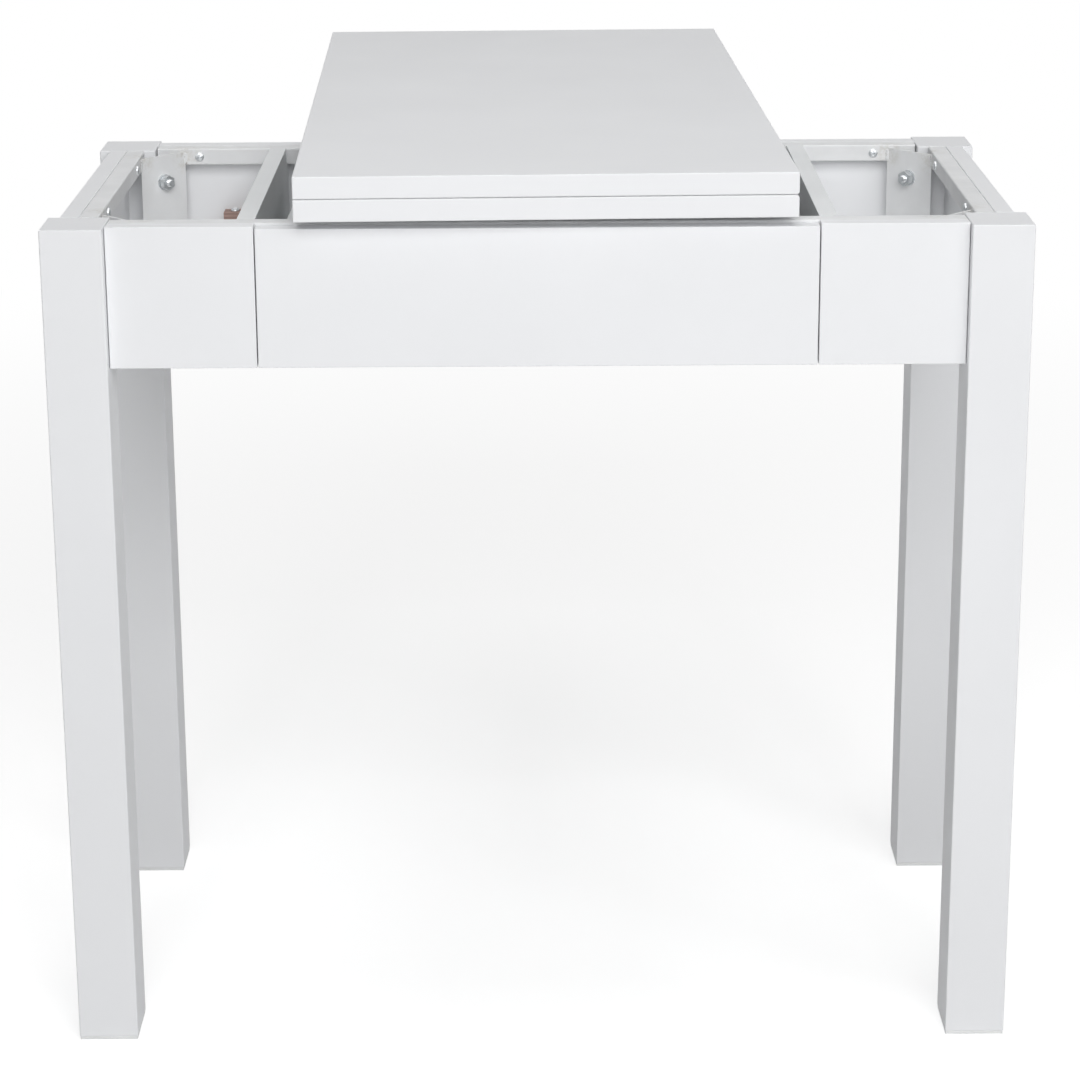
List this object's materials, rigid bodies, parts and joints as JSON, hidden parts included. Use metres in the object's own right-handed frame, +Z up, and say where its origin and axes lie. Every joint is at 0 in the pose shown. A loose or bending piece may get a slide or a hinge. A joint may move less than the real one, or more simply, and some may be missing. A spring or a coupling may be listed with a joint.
{
  "type": "folding kitchen table",
  "caption": "Slim kitchen table on square legs, with a drawer; its folded top turns on an off-centre pivot and unfolds to a square.",
  "frame": {"origin": "on the floor, under the middle of the box round the table as it stands, with its folded top turned across the frame", "axes": "+X to the right of a person at the drawer, +Y to the rear, away from the drawer, +Z up"},
  "size_m": [0.79, 0.8094, 0.75],
  "materials": {
    "leg_lacquer": "white satin lacquer",
    "board_lacquer": "white satin lacquer",
    "board_foil": "white satin foil",
    "raw_wood": "raw",
    "powder_coat": "white satin powder coat",
    "zinc_plate": "bright zinc plate",
    "bright_steel": "turned",
    "nylon": "moulded"
  },
  "bodies": {
    "frame": {"leg_front_left": "leg_lacquer", "leg_front_right": "leg_lacquer", "leg_rear_left": "leg_lacquer", "leg_rear_right": "leg_lacquer", "foot_plates": "nylon", "apron_rear": "board_lacquer", "apron_left": "board_lacquer", "apron_right": "board_lacquer", "front_panel_left": "board_lacquer", "front_panel_right": "board_lacquer", "rail_front": "powder_coat", "rail_rear": "powder_coat", "rail_left": "powder_coat", "rail_right": "powder_coat", "corner_plate_front_left": "powder_coat", "corner_plate_front_right": "powder_coat", "corner_plate_rear_left": "powder_coat", "corner_plate_rear_right": "powder_coat", "hanger_bolts": "zinc_plate", "bolt_washers": "zinc_plate", "bolt_nuts": "zinc_plate", "rail_screws": "zinc_plate", "partition_left": "board_foil", "partition_right": "board_foil", "fixing_block": "raw_wood", "block_screws": "zinc_plate", "pivot_beam": "powder_coat", "pivot_bush": "bright_steel", "thrust_washer": "nylon", "runner_fixed_left": "powder_coat", "runner_fixed_right": "powder_coat", "runner_screws": "zinc_plate"},
    "swivel_top": {"lower_leaf": "board_lacquer", "pivot_plate": "zinc_plate", "pivot_stud": "bright_steel", "stop_pin": "bright_steel", "lock_washer": "zinc_plate", "pivot_nut": "zinc_plate", "lower_leaf_screws": "zinc_plate", "top_glides": "nylon", "hinge_plates_lower": "zinc_plate", "hinge_pins_lower": "bright_steel"},
    "links": {"hinge_links": "bright_steel"},
    "flap": {"upper_leaf": "board_lacquer", "hinge_plates_upper": "zinc_plate", "hinge_pins_upper": "bright_steel", "upper_leaf_screws": "zinc_plate"},
    "drawer": {"drawer_front": "board_lacquer", "drawer_side_left": "board_foil", "drawer_side_right": "board_foil", "drawer_back": "board_foil", "drawer_bottom": "board_foil", "drawer_screws": "zinc_plate", "runner_moving_left": "powder_coat", "runner_moving_right": "powder_coat"},
    "front_rollers": {"roller_front_left": "nylon", "roller_front_right": "nylon"},
    "rear_rollers": {"roller_rear_left": "nylon", "roller_rear_right": "nylon"}
  },
  "joints": [
    {"name": "top_swivel", "type": "hinge", "parent": "frame", "child": "swivel_top", "pos_m": [0.1, -0.09753, 0.7115], "axis": [0, 0, 1], "range_deg": [-1.4, 178.6]},
    {"name": "top_fold", "type": "hinge", "parent": "swivel_top", "child": "links", "pos_m": [0.19453, 0.00481, 0.7285], "axis": [-0.0244, 0.9997, 0], "range_deg": [0, 90]},
    {"name": "flap_turn", "type": "hinge", "parent": "links", "child": "flap", "pos_m": [0.19453, 0.00481, 0.735], "axis": [-0.0244, 0.9997, 0], "range_deg": [0, 90]},
    {"name": "drawer_slide", "type": "slide", "parent": "frame", "child": "drawer", "axis": [0, -1, 0], "range_m": [0, 0.25]},
    {"name": "front_roller_spin", "type": "hinge", "parent": "frame", "child": "front_rollers", "pos_m": [0, -0.35683, 0.6067], "axis": [1, 0, 0], "range_deg": [0, 1600]},
    {"name": "rear_roller_spin", "type": "hinge", "parent": "drawer", "child": "rear_rollers", "pos_m": [0, -0.08083, 0.6063], "axis": [1, 0, 0], "range_deg": [0, 1600]}
  ],
  "couplings": [
    {"joint": "flap_turn", "follows": "top_fold", "ratio": 1},
    {"joint": "front_roller_spin", "follows": "drawer_slide", "rad_per_m": 111.11},
    {"joint": "rear_roller_spin", "follows": "drawer_slide", "rad_per_m": 111.11}
  ]
}
